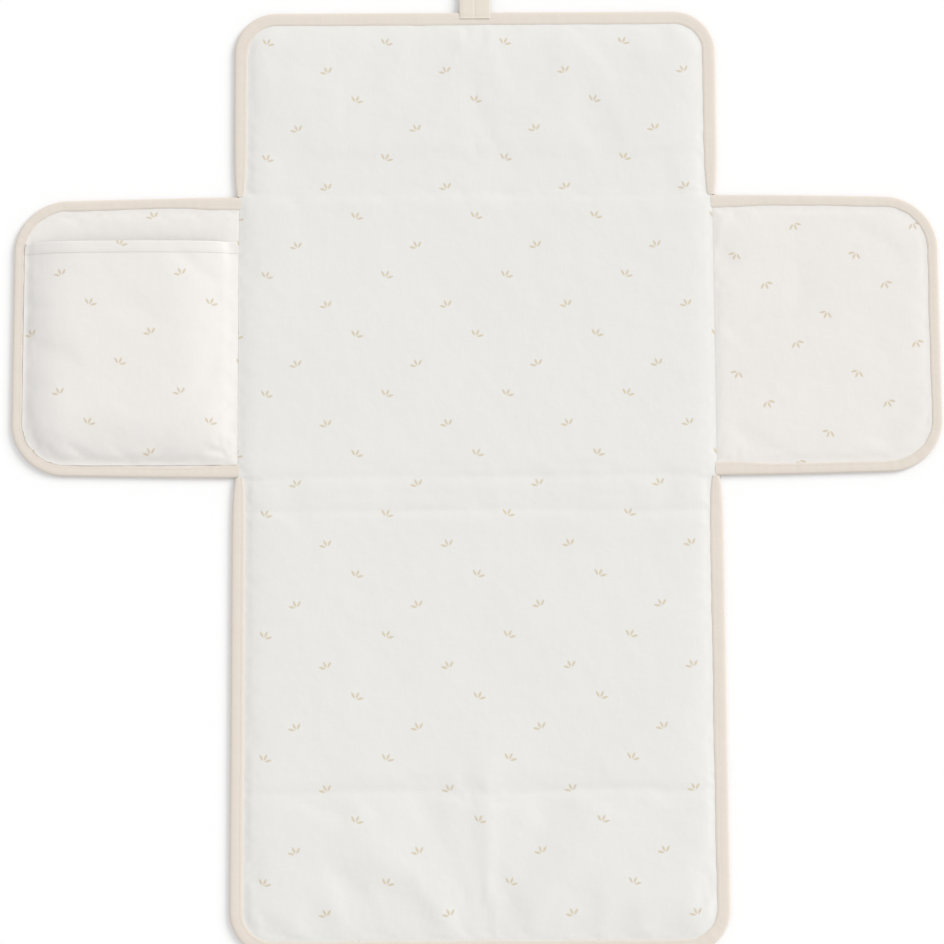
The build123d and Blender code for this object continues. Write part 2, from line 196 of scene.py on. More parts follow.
class Quilt:
    """Two cloths over the same grid, joined at their edges; top and bottom give their heights."""

    def __init__(self, xs, ys, depth, top, bottom):
        self.x, self.y = np.meshgrid(xs, ys, indexing="ij")
        self.ys = ys
        cx = (self.x[1:, 1:] + self.x[:-1, :-1]) / 2
        cy = (self.y[1:, 1:] + self.y[:-1, :-1]) / 2
        self.cells = depth(cx, cy) > 0
        h = 0.01
        for _ in range(4):  # points beyond the outline are pulled back onto it
            d = depth(self.x, self.y)
            gx = (depth(self.x + h, self.y) - depth(self.x - h, self.y)) / (2 * h)
            gy = (depth(self.x, self.y + h) - depth(self.x, self.y - h)) / (2 * h)
            push = np.where(d < 0, -d, 0)
            self.x = self.x + gx * push
            self.y = self.y + gy * push
        self.top = np.stack([self.x, self.y, top(self.x, self.y)], -1)
        self.bottom = np.stack([self.x, self.y, bottom(self.x, self.y)], -1)

    def normals(self, p, up):
        du = np.gradient(p, axis=0)
        dv = np.gradient(p, axis=1)
        n = np.cross(du, dv)
        size = np.linalg.norm(n, axis=-1, keepdims=True)
        n = np.where(size > 1e-6, n / np.maximum(size, 1e-9), [0, 0, 1.0])
        return n * up

    def piece(self, name, y_low, y_high, materials, cloth=None):
        """The stretch between two grid lines as one closed mesh with the normals of the whole."""
        nx, ny = self.x.shape
        keep = np.zeros_like(self.cells)
        mid = (self.ys[1:] + self.ys[:-1]) / 2
        keep[:, (mid > y_low) & (mid < y_high)] = True
        keep &= self.cells
        i, j = np.nonzero(keep)
        index = np.arange(nx * ny).reshape(nx, ny)
        quads = np.stack([index[i, j], index[i + 1, j], index[i + 1, j + 1], index[i, j + 1]], 1)
        edges = np.concatenate([quads[:, [k, (k + 1) % 4]] for k in range(4)])
        key = np.sort(edges, 1)
        _, first, count = np.unique(key, axis=0, return_index=True, return_counts=True)
        rim = edges[first[count == 1]]
        n = nx * ny
        sides = np.stack([rim[:, 1], rim[:, 0], rim[:, 0] + n, rim[:, 1] + n], 1)
        faces = np.concatenate([quads, quads[:, ::-1] + n, sides])
        points = np.concatenate([self.top.reshape(-1, 3), self.bottom.reshape(-1, 3)])
        normal = np.concatenate([self.normals(self.top, 1), self.normals(self.bottom, -1)])
        used, renumbered = np.unique(faces, return_inverse=True)
        renumbered = renumbered.reshape(faces.shape)
        loops = normal.reshape(-1, 3)[faces]
        a = points[sides[:, 1]] - points[sides[:, 0]]
        b = points[sides[:, 2]] - points[sides[:, 1]]
        flat = np.cross(a, b)
        flat /= np.maximum(np.linalg.norm(flat, axis=1, keepdims=True), 1e-9)
        loops[len(quads) * 2 :] = flat[:, None, :]
        slots = np.concatenate([np.zeros(len(quads), int), np.ones(len(quads) + len(sides), int)])
        place = points[used][:, :2] if cloth is None else cloth(points[used])
        loops = loops.reshape(-1, 3).tolist()
        return build(name, points[used], renumbered.tolist(), materials, loops, place, slots.tolist())


SIM_SCALE = 10.0  # the cloth is simulated at ten times its size, where the solver is steady
SIM_FRAMES = 20


def settle(x, y, z, pinned, swell, pressure, cap):
    """Cloth simulation of a sheet with a little spare cloth, held at its seams.

    Gives its change in height in mm, levelled off at cap. swell is the share of spare cloth.
    """
    nx, ny = x.shape
    index = np.arange(nx * ny).reshape(nx, ny)
    quads = np.stack([index[:-1, :-1], index[1:, :-1], index[1:, 1:], index[:-1, 1:]], -1)
    quads = quads.reshape(-1, 4)
    mesh = bpy.data.meshes.new("settling")
    points = np.stack([x, y, z], -1).reshape(-1, 3)
    mesh.from_pydata((points * MM * SIM_SCALE).tolist(), [], quads.tolist())
    obj = new_object("settling", mesh)
    group = obj.vertex_groups.new(name="seam")
    weight = np.round(pinned.reshape(-1), 3)
    for value in np.unique(weight):
        if value > 0:
            group.add(np.nonzero(weight == value)[0].tolist(), float(value), "REPLACE")
    cloth = obj.modifiers.new("cloth", "CLOTH")
    s = cloth.settings
    s.quality = 5
    s.mass = 0.15
    s.tension_stiffness = 25
    s.compression_stiffness = 20
    s.shear_stiffness = 8
    s.bending_stiffness = 0.6
    s.tension_damping = s.compression_damping = s.shear_damping = 10
    s.air_damping = 2
    s.vertex_group_mass = "seam"
    s.pin_stiffness = 1.0
    s.shrink_min = -swell
    s.use_pressure = True
    s.uniform_pressure_force = pressure
    s.effector_weights.gravity = 0
    cloth.collision_settings.use_collision = False
    cloth.collision_settings.use_self_collision = False
    for f in range(1, SIM_FRAMES + 1):
        bpy.context.scene.frame_set(f)
    settled = obj.evaluated_get(bpy.context.evaluated_depsgraph_get())
    co = np.zeros(len(points) * 3, np.float32)
    settled.to_mesh().vertices.foreach_get("co", co)
    settled.to_mesh_clear()
    bpy.data.objects.remove(obj)
    bpy.context.scene.frame_set(1)
    change = co.reshape(-1, 3)[:, 2] / MM / SIM_SCALE - points[:, 2]
    change = np.nan_to_num(change).reshape(nx, ny)
    return cap * np.tanh(change / cap)


def sampled(xs, ys, values, x, y):
    """Values on a regular grid, read between its points."""
    u = np.clip((x - xs[0]) / (xs[1] - xs[0]), 0, len(xs) - 1.001)
    v = np.clip((y - ys[0]) / (ys[1] - ys[0]), 0, len(ys) - 1.001)
    i, j = u.astype(int), v.astype(int)
    a, b = u - i, v - j
    return (
        values[i, j] * (1 - a) * (1 - b)
        + values[i + 1, j] * a * (1 - b)
        + values[i, j + 1] * (1 - a) * b
        + values[i + 1, j + 1] * a * b
    )


# ---------------------------------------------------------------- materials
def srgb(r, g, b):
    def one(c):
        c /= 255
        return c / 12.92 if c <= 0.04045 else ((c + 0.055) / 1.055) ** 2.4

    return (one(r), one(g), one(b), 1)


class Nodes:
    """Short names for building a material's node tree."""

    def __init__(self, name):
        self.mat = bpy.data.materials.new(name)
        self.mat.use_nodes = True
        self.tree = self.mat.node_tree
        self.bsdf = self.tree.nodes["Principled BSDF"]

    def add(self, kind, **settings):
        node = self.tree.nodes.new(kind)
        for key, value in settings.items():
            setattr(node, key, value)
        return node

    def plug(self, socket, value):
        if hasattr(value, "is_output"):
            self.tree.links.new(value, socket)
        else:
            socket.default_value = value

    def math(self, operation, *values, clamp=False):
        node = self.add("ShaderNodeMath", operation=operation, use_clamp=clamp)
        for k, value in enumerate(values):
            self.plug(node.inputs[k], value)
        return node.outputs[0]

    def vector(self, operation, *values):
        node = self.add("ShaderNodeVectorMath", operation=operation)
        for k, value in enumerate(values):
            if k == 1 and operation == "SCALE":
                self.plug(node.inputs["Scale"], value)
            else:
                self.plug(node.inputs[k], value)
        return node.outputs["Value" if operation in ("LENGTH", "DOT_PRODUCT") else 0]

    def mix(self, share, a, b):
        node = self.add("ShaderNodeMix", data_type="RGBA")
        self.plug(node.inputs[0], share)
        self.plug(node.inputs[6], a)
        self.plug(node.inputs[7], b)
        return node.outputs[2]

    def noise(self, place, scale, detail=2.0):
        node = self.add("ShaderNodeTexNoise")
        self.plug(node.inputs["Vector"], place)
        node.inputs["Scale"].default_value = scale
        node.inputs["Detail"].default_value = detail
        return node.outputs[0]

    def xyz(self, place):
        node = self.add("ShaderNodeSeparateXYZ")
        self.plug(node.inputs[0], place)
        return node.outputs

    def stretched(self, place, x, y, z=1.0):
        return self.vector("MULTIPLY", place, (x, y, z))

    def bump(self, height, distance, strength=1.0, under=None):
        node = self.add("ShaderNodeBump")
        node.inputs["Strength"].default_value = strength
        node.inputs["Distance"].default_value = distance
        self.plug(node.inputs["Height"], height)
        if under is not None:
            self.plug(node.inputs["Normal"], under)
        return node.outputs[0]


# The sprig print is a plain one of its own. Each sprig is three equal leaves fanned from one
# foot, and there is one sprig to a row and one to a column, an even repeat. Sizes are in mm.
TILE = 96.0
ROW = TILE / 4
LEAF_HALF_LENGTH = 3.0
LEAF_HALF_WIDTH = 1.05
LEAF_SPREAD = 52.0  # degrees between a sprig's leaves
LEAF_REACH = 3.9  # from the sprig's foot to the middle of a leaf
FOOT_BACK = 2.0  # from the sprig's place back to its foot


def sprig(turn):
    """A sprig's leaves as (x, y, lean in radians), for a sprig that points at turn degrees."""
    way = math.radians(turn)
    leaves = []
    for lean in (turn - LEAF_SPREAD, turn, turn + LEAF_SPREAD):
        a = math.radians(lean)
        x = LEAF_REACH * math.cos(a) - FOOT_BACK * math.cos(way)
        y = LEAF_REACH * math.sin(a) - FOOT_BACK * math.sin(way)
        leaves.append((x, y, a))
    return leaves


SPRIGS = (
    (0.0, 0.0, sprig(65.0)),
    (2 * ROW, -ROW, sprig(115.0)),
    (ROW, -2 * ROW, sprig(65.0)),
    (3 * ROW, -3 * ROW, sprig(115.0)),
)
SPRIG_INK = srgb(208, 194, 166)
STITCH_THREAD = srgb(240, 232, 220)
STITCH_AT = BIND - 1.9  # the row of stitches, in from the pad's edge
STITCH_PITCH = 3.0
STITCH_HALF_WIDTH = 0.32
STITCH_HALF_SHARE = 0.42  # half of a stitch, as a share of its pitch


def weave(n, place, pitch):
    """Height of a plain weave: threads over and under each other, pitch mm apart."""
    x, y, _ = n.xyz(place)
    k = 2 * math.pi / pitch
    wx = n.math("SINE", n.math("MULTIPLY", x, k))
    wy = n.math("SINE", n.math("MULTIPLY", y, k))
    half_x = n.math("SINE", n.math("MULTIPLY", x, k / 2))
    half_y = n.math("SINE", n.math("MULTIPLY", y, k / 2))
    cross = n.math("MULTIPLY", half_x, half_y)
    return n.math("ADD", n.math("ADD", wx, wy), n.math("MULTIPLY", cross, 1.4))


def print_ink(n, place):
    """Where the sprig print has ink, from 0 to 1."""
    ink = None
    for sx, sy, leaves in SPRIGS:
        local = n.vector("SUBTRACT", place, (sx, sy, 0))
        local = n.vector("ADD", n.vector("SCALE", local, 1 / TILE), (0.5, 0.5, 0))
        local = n.vector("SUBTRACT", n.vector("FRACTION", local), (0.5, 0.5, 0))
        local = n.vector("SCALE", local, TILE)
        for x, y, a in leaves:
            leaf = n.vector("SUBTRACT", local, (x, y, 0))
            length = (math.cos(a) / LEAF_HALF_LENGTH, math.sin(a) / LEAF_HALF_LENGTH, 0)
            along = n.vector("DOT_PRODUCT", leaf, length)
            across = n.vector("DOT_PRODUCT", leaf, (-math.sin(a), math.cos(a), 0))
            room = n.math("SUBTRACT", 1.0, n.math("MULTIPLY", along, along))
            half = n.math("MULTIPLY", room, LEAF_HALF_WIDTH)
            edge = n.math("SUBTRACT", half, n.math("ABSOLUTE", across))
            body = n.math("MULTIPLY", n.math("ADD", edge, 0.12), 2.4, clamp=True)
            ink = body if ink is None else n.math("MAXIMUM", ink, body)
    return ink


def mottled(n, threads, place, slub, patch, share, floor_tone):
    """Slubs along both threads, and the cloth's uneven tone, from 0 to 1."""
    along, across = slub
    slub_x = n.noise(n.stretched(threads, along, across), 1.0, 3.0)
    slub_y = n.noise(n.stretched(threads, across, along), 1.0, 3.0)
    patches = n.noise(n.stretched(place, *patch), 1.0, 2.0)
    tone = n.math("ADD", n.math("MULTIPLY", slub_x, share), n.math("MULTIPLY", slub_y, share))
    tone = n.math("ADD", tone, n.math("MULTIPLY", patches, 0.5))
    return slub_x, slub_y, n.math("SUBTRACT", tone, floor_tone, clamp=True)


def fibrous(n):
    """The soft surface of cotton, which hardly shines."""
    n.bsdf.inputs["Sheen Weight"].default_value = 0.12
    n.bsdf.inputs["Sheen Roughness"].default_value = 0.5
    n.bsdf.inputs["Specular IOR Level"].default_value = 0.25


def cotton(name, base, deep, printed=False, pitch=0.55):
    """Cotton cloth: weave, slubs, faint crumples, and the sprig print where it is printed."""
    n = Nodes(name)
    place = n.add("ShaderNodeAttribute", attribute_name="cloth").outputs["Vector"]
    slub_x, slub_y, tone = mottled(n, place, place, (0.05, 1.6), (0.012, 0.012), 0.4, 0.2)
    colour = n.mix(tone, deep, base)
    if printed:
        ink = print_ink(n, place)
        wear = n.noise(n.stretched(place, 0.9, 0.9), 1.0, 3.0)
        wear = n.math("ADD", n.math("MULTIPLY", wear, 0.5), 0.52, clamp=True)
        colour = n.mix(n.math("MULTIPLY", ink, wear), colour, SPRIG_INK)
    n.plug(n.bsdf.inputs["Base Color"], colour)
    n.plug(n.bsdf.inputs["Roughness"], n.math("ADD", n.math("MULTIPLY", slub_x, 0.12), 0.80))
    fibrous(n)
    threads = n.bump(weave(n, place, pitch), 0.00003, 0.35)
    slubs = n.bump(n.math("ADD", slub_x, slub_y), 0.00012, 0.35, threads)
    crumples = n.noise(n.stretched(place, 0.055, 0.055), 1.0, 2.5)
    n.plug(n.bsdf.inputs["Normal"], n.bump(crumples, 0.0022, 0.25, slubs))
    return n.mat


def binding_cloth(name, base, deep, stitch_at=STITCH_AT):
    """Bias tape: cloth.x is the length along it, cloth.y how far in from the edge, in mm."""
    n = Nodes(name)
    place = n.add("ShaderNodeAttribute", attribute_name="cloth").outputs["Vector"]
    x, y, _ = n.xyz(place)
    turned = n.add("ShaderNodeVectorRotate", rotation_type="Z_AXIS")
    n.plug(turned.inputs["Vector"], place)
    turned.inputs["Angle"].default_value = math.radians(45)
    bias = turned.outputs[0]
    slub_x, slub_y, tone = mottled(n, bias, place, (0.06, 1.5), (0.02, 0.05), 0.45, 0.25)
    colour = n.mix(tone, deep, base)
    # the stitches: thread lies in the row, and the cloth is drawn down into a valley round it
    off = n.math("ABSOLUTE", n.math("SUBTRACT", y, stitch_at))
    row = n.math("SUBTRACT", 1.0, n.math("DIVIDE", off, STITCH_HALF_WIDTH), clamp=True)
    step = n.math("FRACT", n.math("DIVIDE", x, STITCH_PITCH))
    gap = n.math("ABSOLUTE", n.math("SUBTRACT", step, 0.5))
    on = n.math("MULTIPLY", n.math("SUBTRACT", STITCH_HALF_SHARE, gap), 12.0, clamp=True)
    thread = n.math("MULTIPLY", row, on)
    valley = n.math("SUBTRACT", 1.0, n.math("DIVIDE", off, 1.3), clamp=True)
    colour = n.mix(n.math("MULTIPLY", thread, 0.55), colour, STITCH_THREAD)
    n.plug(n.bsdf.inputs["Base Color"], colour)
    n.plug(n.bsdf.inputs["Roughness"], n.math("ADD", n.math("MULTIPLY", slub_y, 0.12), 0.78))
    fibrous(n)
    threads = n.bump(weave(n, bias, 0.5), 0.00003, 0.4)
    slubs = n.bump(n.math("ADD", slub_x, slub_y), 0.0001, 0.35, threads)
    pull = n.noise(n.stretched(place, 0.25, 0.06), 1.0, 2.0)
    pulled = n.bump(pull, 0.0006, 0.35, slubs)
    sewn = n.math("SUBTRACT", n.math("MULTIPLY", thread, 0.9), valley)
    n.plug(n.bsdf.inputs["Normal"], n.bump(sewn, 0.00025, 0.7, pulled))
    return n.mat


def moulded(name, base, deep):
    """Satin moulded plastic with a fine grain."""
    n = Nodes(name)
    place = n.add("ShaderNodeTexCoord").outputs["Object"]
    grain = n.noise(place, 900.0, 3.0)
    cloud = n.noise(place, 120.0, 2.0)
    n.plug(n.bsdf.inputs["Base Color"], n.mix(cloud, deep, base))
    n.plug(n.bsdf.inputs["Roughness"], n.math("ADD", n.math("MULTIPLY", grain, 0.15), 0.3))
    n.plug(n.bsdf.inputs["Normal"], n.bump(grain, 0.00004, 0.3))
    return n.mat


def matted(name, base, deep):
    """Short dense fibres, for the small patch inside."""
    n = Nodes(name)
    fibres = n.noise(n.add("ShaderNodeTexCoord").outputs["Object"], 1500.0, 3.0)
    n.plug(n.bsdf.inputs["Base Color"], n.mix(fibres, deep, base))
    n.plug(n.bsdf.inputs["Normal"], n.bump(fibres, 0.0001, 0.4))
    return n.mat


FACE = cotton("printed_cotton", srgb(232, 231, 227), srgb(226, 225, 221), printed=True)
WING_FACE = cotton("printed_cotton_wings", srgb(235, 232, 228), srgb(229, 226, 222), printed=True)
BACK = cotton("plain_cotton", srgb(226, 220, 210), srgb(216, 209, 198), pitch=0.6)
BINDING = binding_cloth("bias_binding", srgb(230, 221, 210), srgb(222, 212, 201))
STRAP = binding_cloth("strap_cloth", srgb(230, 223, 210), srgb(223, 215, 202), stitch_at=2.0)
SNAP = moulded("snap_plastic", srgb(223, 208, 190), srgb(214, 198, 178))
PATCH = matted("patch_cloth", srgb(238, 234, 226), srgb(226, 220, 210))


# ---------------------------------------------------------------- pad
CREASE_DEPTHS = (0.05, 0.2, 0.28, 0.26, 0.26)  # mm, at each of FOLDS
# long wrinkles that fan out from a point at the foot, as (degrees, height in mm, half width in radians)
WRINKLES_FROM = (8.0, FOOT_END - 4)
WRINKLES = (
    (137, 1.3, 0.14),
    (91, 0.9, 0.09),
    (50, 1.1, 0.15),
    (114, -0.5, 0.11),
    (70, -0.5, 0.11),
)
LOOSE_PIN = 0.03  # how firmly the simulation holds the cloth away from its seams


def pad_depth(x, y, inset=0.0):
    return inside(x, y, 0, PAD_MID, HALF, PAD_HALF_LENGTH, PAD_CORNER) - inset


def wing_share(y):
    """1 beside the wings, 0 beyond them."""
    return smooth((WING_HALF + 4.8 - np.abs(y)) / 5)


def face_edge(x, y):
    """Distance in from the face's visible edge: the binding, or the seam beside the wings."""
    bound = pad_depth(x, y, BIND)
    seam = SEAM_X - np.abs(x)
    share = wing_share(y)
    return bound * (1 - share) + np.minimum(seam, bound + BIND) * share


def creases(x, y):
    """Fold lines: a shallow trough at each, uneven along its length, and a soft lift beside it."""
    z = np.zeros_like(x)
    for k, (fold, deep) in enumerate(zip(FOLDS, CREASE_DEPTHS)):
        line = fold + 1.6 * waves(x, 0 * x, 40 + k, 190)
        amount = deep * (1 + 0.5 * waves(x, 0 * x, 50 + k, 150))
        z -= amount * bell(y - line, 3.6)
        z += 0.55 * amount * bell(np.abs(y - line) - 10, 8)
    return z


def drape(x, y):
    """The wrinkles at the foot, where the pad doesn't lie quite flat."""
    z = np.zeros_like(x)
    dx, dy = x - WRINKLES_FROM[0], y - WRINKLES_FROM[1]
    far = np.hypot(dx, dy)
    fade = smooth((far - 25) / 70) * smooth((205 - far) / 90)
    for angle, amount, width in WRINKLES:
        z += amount * bell(np.arctan2(dy, dx) - math.radians(angle), width) * fade
    return z


SIM_X = np.linspace(-SEAM_X, SEAM_X, 65)
SIM_Y = np.linspace(FOOT_END + 5, TOP_END - 5, 127)


def pad_base(x, y):
    e = np.maximum(face_edge(x, y), 0)
    pucker = waves(x, y, 5, 11, 9) * np.exp(-e / 6.0) * smooth(e / 2) * 0.35
    low = waves(x, y, 6, 110, 7) * 0.25 * smooth(e / 25)
    z = EDGE_Z + (HEIGHT - 0.5 - EDGE_Z) * pillow(e, 10.0) + pucker + low
    return z + creases(x, y) * smooth(e / 6) + drape(x, y) * smooth(e / 12)


sim_x, sim_y = np.meshgrid(SIM_X, SIM_Y, indexing="ij")
held = np.where(face_edge(sim_x, sim_y) < 3, 1.0, LOOSE_PIN)
for fold in FOLDS:
    held = np.maximum(held, 0.35 * bell(sim_y - fold, 5))
pad_change = settle(sim_x, sim_y, pad_base(sim_x, sim_y), held, 0.012, 0.6, 0.7)


def pad_top(x, y):
    """The face: its drawn shape with a share of the simulated change, more of it at the foot."""
    share = 0.45 + 0.4 * smooth((FOOT_FOLD + 20 - y) / 60)
    change = sampled(SIM_X, SIM_Y, pad_change, x, y)
    return pad_base(x, y) + change * smooth(face_edge(x, y) / 6) * share


def pad_bottom(x, y):
    """The backing, with the dimple that holds the snap's stud."""
    e = np.maximum(face_edge(x, y), 0)
    z = 0.25 + 0.5 * np.exp(-e / 3.0) + 0.12 * waves(x, y, 9, 60, 7)
    for fold in FOLDS:
        z += 0.25 * bell(y - fold, 2.5)
    r = np.hypot(x - STUD[0], y - STUD[1])
    return np.maximum(z, (STUD[2] + 1.55) * smooth((12.6 - r) / 2.2))


def pad_mesh_depth(x, y):
    """Distance in from the edge of the drawn cloth, which ends under the binding."""
    bound = pad_depth(x, y, 4.0)
    share = wing_share(y)
    return bound * (1 - share) + np.minimum(SEAM_X + 0.4 - np.abs(x), bound + 4) * share


# the pieces are split between their folds
UP_SPLIT = (FLAP_FOLD + UPPER_FOLD) / 2
LOW_SPLIT = (PANEL_FOLD + LOWER_FOLD) / 2
PANEL_SPLIT = -258.0
PAD_STOPS = [FOOT_END + 4, PANEL_SPLIT, LOW_SPLIT, 0.0, UP_SPLIT, TOP_END - 4]
PAD_STOPS += [*FOLDS, STUD[1], -WING_HALF, WING_HALF]
pad = Quilt(
    lines([-SEAM_X - 1, STUD[0], SEAM_X + 1], 5.0, (-SEAM_X, STUD[0], SEAM_X), 1.3, 14),
    lines(PAD_STOPS, 5.0, (FOOT_END, TOP_END, *FOLDS, STUD[1]), 1.3, 13),
    pad_mesh_depth,
    pad_top,
    pad_bottom,
)
ZONE = 5.0  # width on each side of a fold line, given to across


def across(fold, low_body, high_body, obj, zone=ZONE):
    """Bakes a piece's placement into its mesh."""
    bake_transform(obj)


# piece, its ends in y, the fold in it, the bodies below and above the fold, and the CAD it stands for
STRETCHES = (
    ("flap", UP_SPLIT, TOP_END, FLAP_FOLD, "upper_spine", "flap", ("flap",)),
    ("upper", 0.0, UP_SPLIT, UPPER_FOLD, "centre_panel", "upper_spine", ("centre", "upper_spine")),
    ("lower", LOW_SPLIT, 0.0, LOWER_FOLD, "lower_spine", "centre_panel", ("lower_spine",)),
    ("panel", PANEL_SPLIT, LOW_SPLIT, PANEL_FOLD, "lower_panel", "lower_spine", ("lower_panel",)),
    ("foot", FOOT_END, PANEL_SPLIT, FOOT_FOLD, "end_panel", "lower_panel", ("end_panel",)),
)
for name, low, high, fold, below, above, nodes in STRETCHES:
    obj = pad.piece("pad_" + name, low, high, [FACE, BACK])
    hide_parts(*[f"{n}_{layer}" for n in nodes for layer in ("face", "foam", "backing")])
    across(fold, below, above, obj)


# ---------------------------------------------------------------- binding
# (inset from the edge, height over the seam) round the tape's section, top inner edge first
TAPE_TOP = (
    (BIND, 0.0),
    (BIND, 0.3),
    (BIND - 0.6, 0.5),
    (STITCH_AT, 0.46),
    (BIND - 3.4, 0.6),
    (5.6, 0.68),
    (3.2, 0.66),
    (1.5, 0.5),
    (0.6, 0.12),
)
TAPE_LOW = (
    (0.12, -0.75),
    (0.0, -1.25),
    (0.3, -1.85),
    (1.4, -2.25),
    (4.0, -2.42),
    (BIND - 1.0, -2.42),
    (BIND, -2.2),
)
SECTION = np.array(TAPE_TOP + TAPE_LOW)


def outline(cx, cy, hx, hy, r, step=3.0):
    """Points, outward normals and lengths along a rounded rectangle.

    It runs anticlockwise from the middle of its +X side.
    """
    pts, normals = [], []

    def straight(a, b, normal):
        a, b = np.array(a, float), np.array(b, float)
        count = max(1, int(round(np.linalg.norm(b - a) / step)))
        for k in range(count):
            pts.append(a + (b - a) * k / count)
            normals.append(normal)

    def turn(centre, start):
        count = max(6, int(round(r * math.pi / 2 / (step * 0.6))))
        for k in range(count):
            t = start + math.pi / 2 * k / count
            normals.append((math.cos(t), math.sin(t)))
            pts.append(np.array(centre) + r * np.array((math.cos(t), math.sin(t))))

    straight((cx + hx, cy), (cx + hx, cy + hy - r), (1, 0))
    turn((cx + hx - r, cy + hy - r), 0)
    straight((cx + hx - r, cy + hy), (cx - hx + r, cy + hy), (0, 1))
    turn((cx - hx + r, cy + hy - r), math.pi / 2)
    straight((cx - hx, cy + hy - r), (cx - hx, cy - hy + r), (-1, 0))
    turn((cx - hx + r, cy - hy + r), math.pi)
    straight((cx - hx + r, cy - hy), (cx + hx - r, cy - hy), (0, -1))
    turn((cx + hx - r, cy - hy + r), 1.5 * math.pi)
    straight((cx + hx, cy - hy + r), (cx + hx, cy), (1, 0))
    pts.append(np.array((cx + hx, cy), float))
    normals.append((1, 0))
    pts, normals = np.array(pts), np.array(normals, float)
    along = np.concatenate([[0], np.cumsum(np.linalg.norm(np.diff(pts, axis=0), axis=1))])
    return pts, normals, along


def with_cuts(line, levels):
    """The outline with points added where it crosses each level of y."""
    pts, normals, along = line
    rows = []
    for k in range(len(pts) - 1):
        a, b = pts[k], pts[k + 1]
        rows.append((a, normals[k], along[k]))
        crossed = [level for level in levels if (a[1] - level) * (b[1] - level) < -1e-9]
        for t in sorted((level - a[1]) / (b[1] - a[1]) for level in crossed):
            normal = normals[k] * (1 - t) + normals[k + 1] * t
            rows.append((a + (b - a) * t, normal, along[k] * (1 - t) + along[k + 1] * t))
    rows.append((pts[-1], normals[-1], along[-1]))
    p, n, s = (np.array(v) for v in zip(*rows))
    return p, n / np.linalg.norm(n, axis=1, keepdims=True), s


class Tape:
    """Bias tape swept along an outline.

    give is how much narrower it is at each point, and outer the share of that taken off outside.
    """

    def __init__(self, line, give, outer, seed, seam_z=EDGE_Z - 0.1):
        pts, normals, along = line
        s = along[:, None]
        inset, rise = SECTION[:, 0][None], SECTION[:, 1][None]
        ripple = waves(s, 0 * s, seed, 16, 5)
        fine = waves(s, 0 * s, seed + 1, 7, 5)
        wander = waves(s, 0 * s, seed + 2, 45, 4)
        share = inset / BIND
        give = give[:, None]
        place = inset * (1 - give) + BIND * give * outer
        place = place + (0.35 * wander + 0.18 * ripple) * share
        loose = np.where(rise > -1, 1, 0.25) * (0.4 + 0.6 * np.sin(math.pi * np.minimum(share, 1)))
        up = rise + np.where(rise < -2.0, 0, (0.14 * ripple + 0.10 * fine) * loose)
        flat = pts[:, None, :] - normals[:, None, :] * place[..., None]
        self.points = np.concatenate([flat, np.maximum(0.02, seam_z + up)[..., None]], 2)
        near = np.where(np.arange(len(SECTION)) < len(TAPE_TOP), inset, -inset)
        self.cloth = np.stack([np.broadcast_to(s, up.shape), np.broadcast_to(near, up.shape)], -1)
        du = np.gradient(self.points, axis=0)
        dv = np.roll(self.points, -1, 1) - np.roll(self.points, 1, 1)
        normal = np.cross(du, dv)
        self.normal = normal / np.maximum(np.linalg.norm(normal, axis=2, keepdims=True), 1e-9)
        self.y = pts[:, 1]

    def piece(self, name, rings):
        """The tape through the given rings, in order, closed at both ends."""
        m = len(SECTION)
        points, normal, cloth = (
            v[rings].reshape(len(rings) * m, -1) for v in (self.points, self.normal, self.cloth)
        )
        faces, loops = [], []
        for k in range(len(rings) - 1):
            for q in range(m):
                a, b = k * m + q, k * m + (q + 1) % m
                faces.append((a, a + m, b + m, b))
                loops += [normal[v] for v in faces[-1]]
        first, last = range(m), range((len(rings) - 1) * m, len(rings) * m)
        for face in (tuple(first), tuple(reversed(last))):
            faces.append(face)
            a, b, c = (points[face[i]] for i in (0, 4, 9))  # three corners well apart
            flat = np.cross(b - a, c - a)
            loops += [flat / max(np.linalg.norm(flat), 1e-9)] * m
        return build(name, points, faces, [BINDING], np.array(loops).tolist(), cloth)


WING_ROOT_SHARE = 1.016  # the wings' drawn width at the seam, as a share of the CAD's
WING_STOP = WING_HALF * WING_ROOT_SHARE + 0.15
pad_line = with_cuts(
    outline(0, PAD_MID, HALF, PAD_HALF_LENGTH, PAD_CORNER),
    (UP_SPLIT, WING_STOP, -WING_STOP, LOW_SPLIT, PANEL_SPLIT),
)
# the tape is squeezed narrow where it runs in behind the wings' corners
squeezed = 0.46 * np.exp(-np.maximum(np.abs(pad_line[0][:, 1]) - WING_STOP, 0) / 13.0)
pad_tape = Tape(pad_line, squeezed, 0.55, 60)
BOUND = {
    "flap": ("flap_binding",),
    "upper": ("upper_spine_binding_left", "upper_spine_binding_right"),
    "lower": ("lower_spine_binding_left", "lower_spine_binding_right"),
    "panel": ("lower_panel_binding_left", "lower_panel_binding_right"),
    "foot": ("end_panel_binding",),
}
for name, low, high, fold, below, above, nodes in STRETCHES:
    low = WING_STOP if low == 0.0 else low
    high = -WING_STOP if high == 0.0 else high
    among = (pad_tape.y > low - 1e-6) & (pad_tape.y < high + 1e-6)
    rings = np.nonzero(among)[0]
    runs = np.split(rings, np.nonzero(np.diff(rings) > 1)[0] + 1)
    if among[0] and among[-1] and len(runs) > 1:
        runs = [np.concatenate([runs[-1], runs[0][1:]])] + runs[1:-1]
    for run in runs:
        side = "" if len(runs) == 1 else ("_left" if pad_line[0][run[0], 0] < 0 else "_right")
        obj = pad_tape.piece(f"binding_{name}{side}", run)
        across(fold, below, above, obj)
        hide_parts(next(n for n in BOUND[name] if n.endswith(side)))


